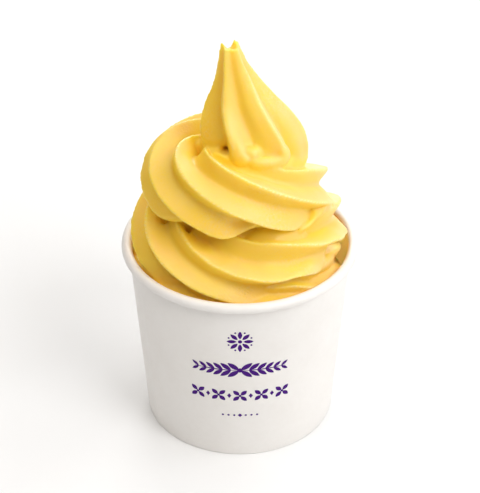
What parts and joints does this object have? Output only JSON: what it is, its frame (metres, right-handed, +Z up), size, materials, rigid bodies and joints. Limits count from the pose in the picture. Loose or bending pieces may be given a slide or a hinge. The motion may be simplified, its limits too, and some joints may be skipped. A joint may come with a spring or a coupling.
{
  "type": "cup of frozen yogurt",
  "caption": "Round paper cup with a rolled rim, filled with a tall swirl of yellow frozen yogurt piped through a star nozzle and ending in a torn peak.",
  "frame": {"origin": "centre of the ring that the cup stands on", "axes": "+Z up, -Y towards the front, +X to the right seen from the front"},
  "size_m": [0.095, 0.095, 0.1704],
  "materials": {
    "paper": "smooth white coated paper",
    "paper_bottom": "smooth white coated paper",
    "yogurt": "moist satin, slightly frosty"
  },
  "bodies": {
    "root": {"cup_wall": "paper", "cup_bottom": "paper_bottom", "frozen_yogurt": "yogurt"}
  },
  "joints": []
}
